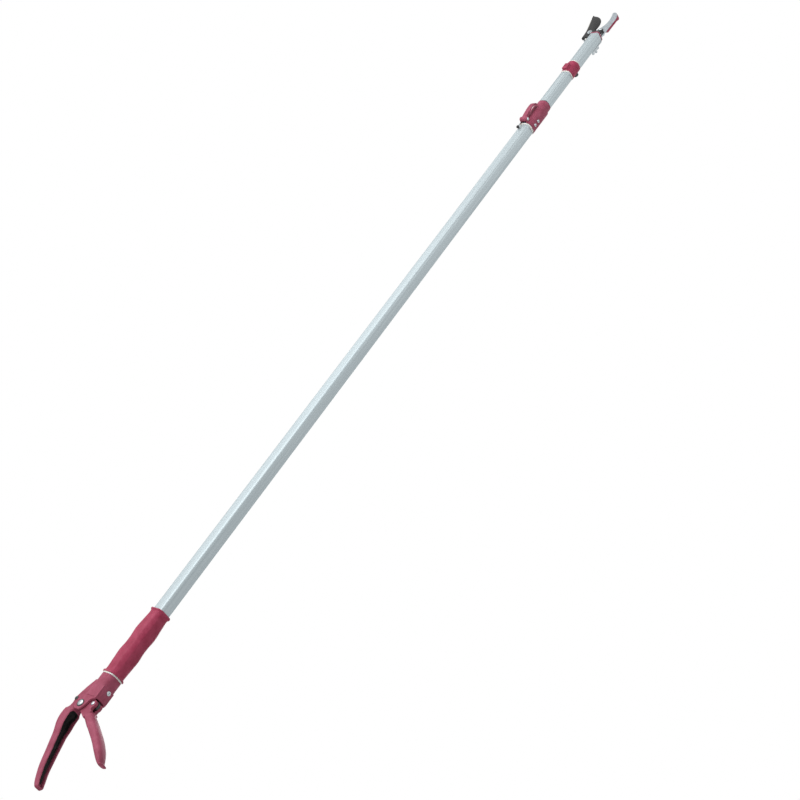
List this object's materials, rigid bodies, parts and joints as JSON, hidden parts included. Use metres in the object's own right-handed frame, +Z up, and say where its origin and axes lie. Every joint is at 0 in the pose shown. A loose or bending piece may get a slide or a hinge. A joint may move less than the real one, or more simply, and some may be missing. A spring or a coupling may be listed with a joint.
{
  "type": "tree pruner pole",
  "caption": "Telescoping square pole with a squeeze lever at its foot that works a cut-and-hold pruner head with a hook, a blade and a bracket for a saw.",
  "frame": {"origin": "on the pole's axis, at the middle of the hand sleeve", "axes": "+Z up the pole to the head, -Y the front of the head where the saw bracket is, +X the blade's side"},
  "size_m": [0.1712, 0.0513, 1.9225],
  "materials": {
    "tube": "satin drawn aluminium",
    "maroon": "moulded, slightly glossy",
    "zinc": "bright zinc plating",
    "hook_steel": "satin plated steel",
    "stainless": "brushed stainless",
    "blade_coat": "black non-stick coat with a ground edge",
    "rod": "black anodised",
    "black_plastic": "moulded",
    "liner": "soft liner",
    "nylon": "white nylon"
  },
  "bodies": {
    "pole": {"outer_tube": "tube", "sleeve_grip": "maroon", "nylon_ring": "nylon", "handle_housing": "maroon", "fixed_grip": "maroon", "grip_liner": "liner", "housing_screw": "zinc", "grip_rivet": "black_plastic", "lever_pivot_pin": "zinc", "lever_pivot_nut": "zinc", "spring_seat": "black_plastic", "return_spring": "stainless", "mouth_bush": "nylon", "clamp_ring": "nylon", "clamp_body": "maroon", "clamp_screws": "zinc", "clamp_pin": "zinc", "clamp_knob": "black_plastic", "clamp_shoe": "black_plastic"},
    "lever": {"trigger_lever": "maroon", "link_pin": "zinc"},
    "lower_rod": {"lower_rod": "rod", "rod_collar": "zinc", "rod_lock": "zinc"},
    "clamp_flip_lever": {"clamp_lever": "maroon"},
    "slider": {"inner_tube": "tube", "tail_bush": "nylon", "stop_collar": "maroon", "collar_screw": "black_plastic", "collar_rings": "nylon", "end_plug": "maroon", "head_plate": "hook_steel", "grip_pad": "maroon", "pad_screws": "zinc", "pivot_bolt": "zinc", "pivot_washer": "zinc", "pivot_nut": "zinc", "saw_bracket": "zinc", "bracket_bolt": "zinc", "saw_stud": "zinc", "stud_washer": "zinc"},
    "upper_rod": {"upper_rod": "rod"},
    "blade": {"blade": "blade_coat", "tail_bolt": "zinc", "tail_nut": "zinc", "stop_pin": "zinc"},
    "holding_plate": {"holding_plate": "stainless", "spring_post": "zinc", "plate_spring": "stainless"},
    "wing_nut": {"wing_nut": "zinc"}
  },
  "joints": [
    {"name": "trigger", "type": "hinge", "parent": "pole", "child": "lever", "pos_m": [0.009, 0, -0.123], "axis": [0, -1, 0], "range_deg": [0, 42], "stiffness_Nm_per_rad": 1.2, "springref_deg": -20.05},
    {"name": "lower_rod_slide", "type": "slide", "parent": "pole", "child": "lower_rod", "axis": [0, 0, -1], "range_m": [0, 0.0154], "stiffness_N_per_m": 200, "springref_m": -0.03, "deforming": ["return_spring"]},
    {"name": "telescope", "type": "slide", "parent": "pole", "child": "slider", "axis": [0, 0, 1], "range_m": [-0.089, 0.95]},
    {"name": "upper_rod_slide", "type": "slide", "parent": "slider", "child": "upper_rod", "axis": [0, 0, -1], "range_m": [0, 0.0154], "stiffness_N_per_m": 150, "springref_m": -0.03},
    {"name": "blade_turn", "type": "hinge", "parent": "slider", "child": "blade", "pos_m": [0.025, 0, 1.5827], "axis": [0, -1, 0], "range_deg": [0, 36]},
    {"name": "plate_yield", "type": "hinge", "parent": "blade", "child": "holding_plate", "pos_m": [0.025, 0, 1.5827], "axis": [0, -1, 0], "range_deg": [-15, 0], "stiffness_Nm_per_rad": 0.6, "springref_deg": 17.19},
    {"name": "clamp_flip", "type": "hinge", "parent": "pole", "child": "clamp_flip_lever", "pos_m": [0, 0.0184, 1.2765], "axis": [-1, 0, 0], "range_deg": [0, 95]},
    {"name": "wing_turn", "type": "hinge", "parent": "slider", "child": "wing_nut", "pos_m": [0, -0.0159, 1.546], "axis": [0, -1, 0], "continuous": true}
  ],
  "couplings": [
    {"joint": "lower_rod_slide", "follows": "trigger", "m_per_rad": 0.02094},
    {"joint": "upper_rod_slide", "follows": "trigger", "m_per_rad": 0.02094},
    {"joint": "blade_turn", "follows": "trigger", "ratio": 0.85714}
  ]
}
